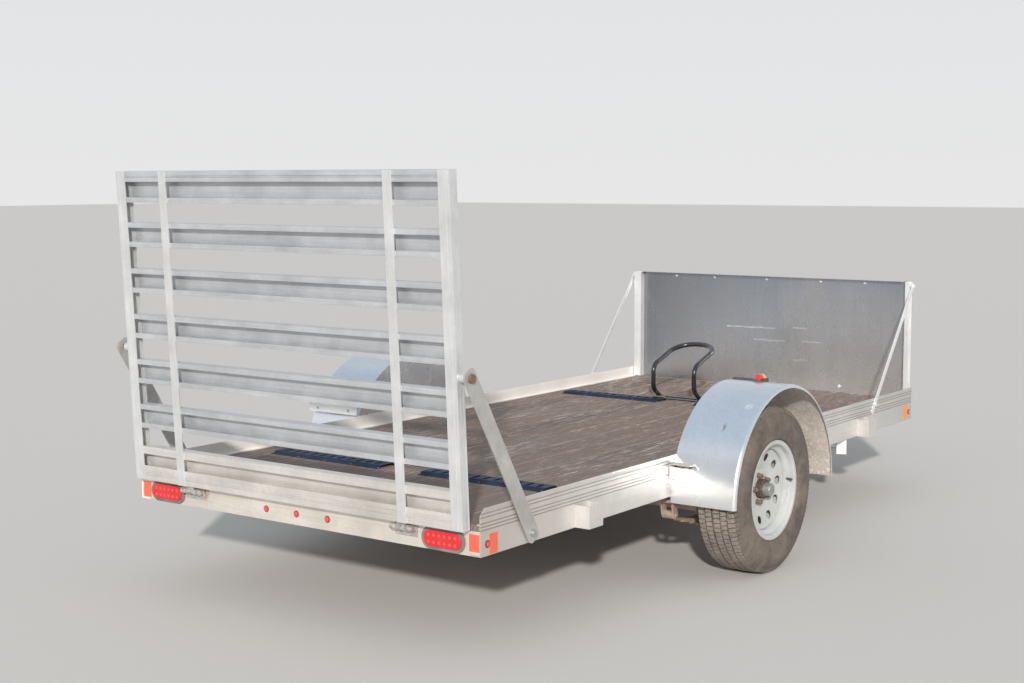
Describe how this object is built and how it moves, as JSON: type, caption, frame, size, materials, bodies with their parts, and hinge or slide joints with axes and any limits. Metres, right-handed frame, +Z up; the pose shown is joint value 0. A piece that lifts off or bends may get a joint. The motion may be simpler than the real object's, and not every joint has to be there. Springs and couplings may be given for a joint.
{
  "type": "single-axle utility trailer",
  "caption": "Open aluminium utility trailer with a wood deck, ladder tailgate on hinges, swing braces, front board, fendered wheels, wheel chock and a tongue with coupler and jack.",
  "frame": {"origin": "on the ground under the middle of the overall length, on the centre plane", "axes": "+Y forward along the trailer towards the coupler, +X to its right, +Z up"},
  "size_m": [2.296, 5.0622, 1.6503],
  "materials": {
    "mill_aluminium": "extruded aluminium, dulled by weather",
    "polished_aluminium": "rolled bright aluminium sheet",
    "deck_wood": "weathered softwood boards",
    "black_steel": "black powder coat",
    "rusty_steel": "bare steel with light rust",
    "zinc_steel": "zinc plated",
    "tyre": "black tyre rubber, dusty",
    "wheel_paint": "white enamel",
    "hub_steel": "dark bare casting",
    "lamp_red": "red lamp lens in a black rubber ring",
    "lamp_amber": "red and amber lens",
    "plate_white": "bare white plate"
  },
  "bodies": {
    "root": {"side_rail_left": "mill_aluminium", "side_rail_right": "mill_aluminium", "rear_crossmember": "mill_aluminium", "front_crossmember": "mill_aluminium", "floor_crossmembers": "mill_aluminium", "deck_boards": "deck_wood", "tie_strips_rear": "black_steel", "tie_strips_front": "black_steel", "chock_hoop": "black_steel", "chock_base": "black_steel", "front_posts": "mill_aluminium", "front_sheet": "polished_aluminium", "front_struts": "mill_aluminium", "axle_beam": "rusty_steel", "leaf_springs": "rusty_steel", "spring_hangers": "rusty_steel", "spring_shackles": "rusty_steel", "spring_clamps": "rusty_steel", "fender_left": "polished_aluminium", "fender_right": "polished_aluminium", "fender_brackets": "mill_aluminium", "fender_lamps": "lamp_amber", "stake_pockets_left": "mill_aluminium", "stake_pockets_right": "mill_aluminium", "tail_lamps": "lamp_red", "id_lamps": "lamp_red", "side_markers": "lamp_red", "blank_plate": "plate_white", "plate_bracket": "mill_aluminium", "hinge_brackets": "rusty_steel", "brace_bolts": "zinc_steel", "tongue_tube_left": "mill_aluminium", "tongue_tube_right": "mill_aluminium", "tongue_bar": "mill_aluminium", "coupler": "zinc_steel", "coupler_latch": "black_steel", "jack_tube": "zinc_steel", "jack_head": "zinc_steel", "jack_crank": "zinc_steel"},
    "gate": {"gate_post_left": "mill_aluminium", "gate_post_right": "mill_aluminium", "gate_top_rail": "mill_aluminium", "gate_foot_rail": "mill_aluminium", "gate_rungs": "mill_aluminium", "gate_straps": "mill_aluminium", "hinge_leaves": "rusty_steel"},
    "brace_left": {"brace_left": "mill_aluminium", "brace_pin_left": "zinc_steel"},
    "brace_right": {"brace_right": "mill_aluminium", "brace_pin_right": "zinc_steel"},
    "wheel_left": {"tyre_left": "tyre", "rim_left": "wheel_paint", "hub_left": "hub_steel"},
    "wheel_right": {"tyre_right": "tyre", "rim_right": "wheel_paint", "hub_right": "hub_steel"},
    "jack_leg": {"jack_leg": "zinc_steel"}
  },
  "joints": [
    {"name": "gate_hinge", "type": "hinge", "parent": "root", "child": "gate", "pos_m": [0, -2.43894, 0.418], "axis": [1, 0, 0], "range_deg": [0, 105]},
    {"name": "brace_left_swing", "type": "hinge", "parent": "root", "child": "brace_left", "pos_m": [-0.8633, -2.12195, 0.383], "axis": [1, 0, 0], "range_deg": [-103, 0]},
    {"name": "brace_right_swing", "type": "hinge", "parent": "root", "child": "brace_right", "pos_m": [0.8633, -2.12195, 0.383], "axis": [1, 0, 0], "range_deg": [-103, 0]},
    {"name": "wheel_left_spin", "type": "hinge", "parent": "root", "child": "wheel_left", "pos_m": [-1.036, -0.77394, 0.344], "axis": [1, 0, 0], "continuous": true},
    {"name": "wheel_right_spin", "type": "hinge", "parent": "root", "child": "wheel_right", "pos_m": [1.036, -0.77394, 0.344], "axis": [1, 0, 0], "continuous": true},
    {"name": "jack_slide", "type": "slide", "parent": "root", "child": "jack_leg", "axis": [0, 0, 1], "range_m": [0, 0.254]}
  ]
}
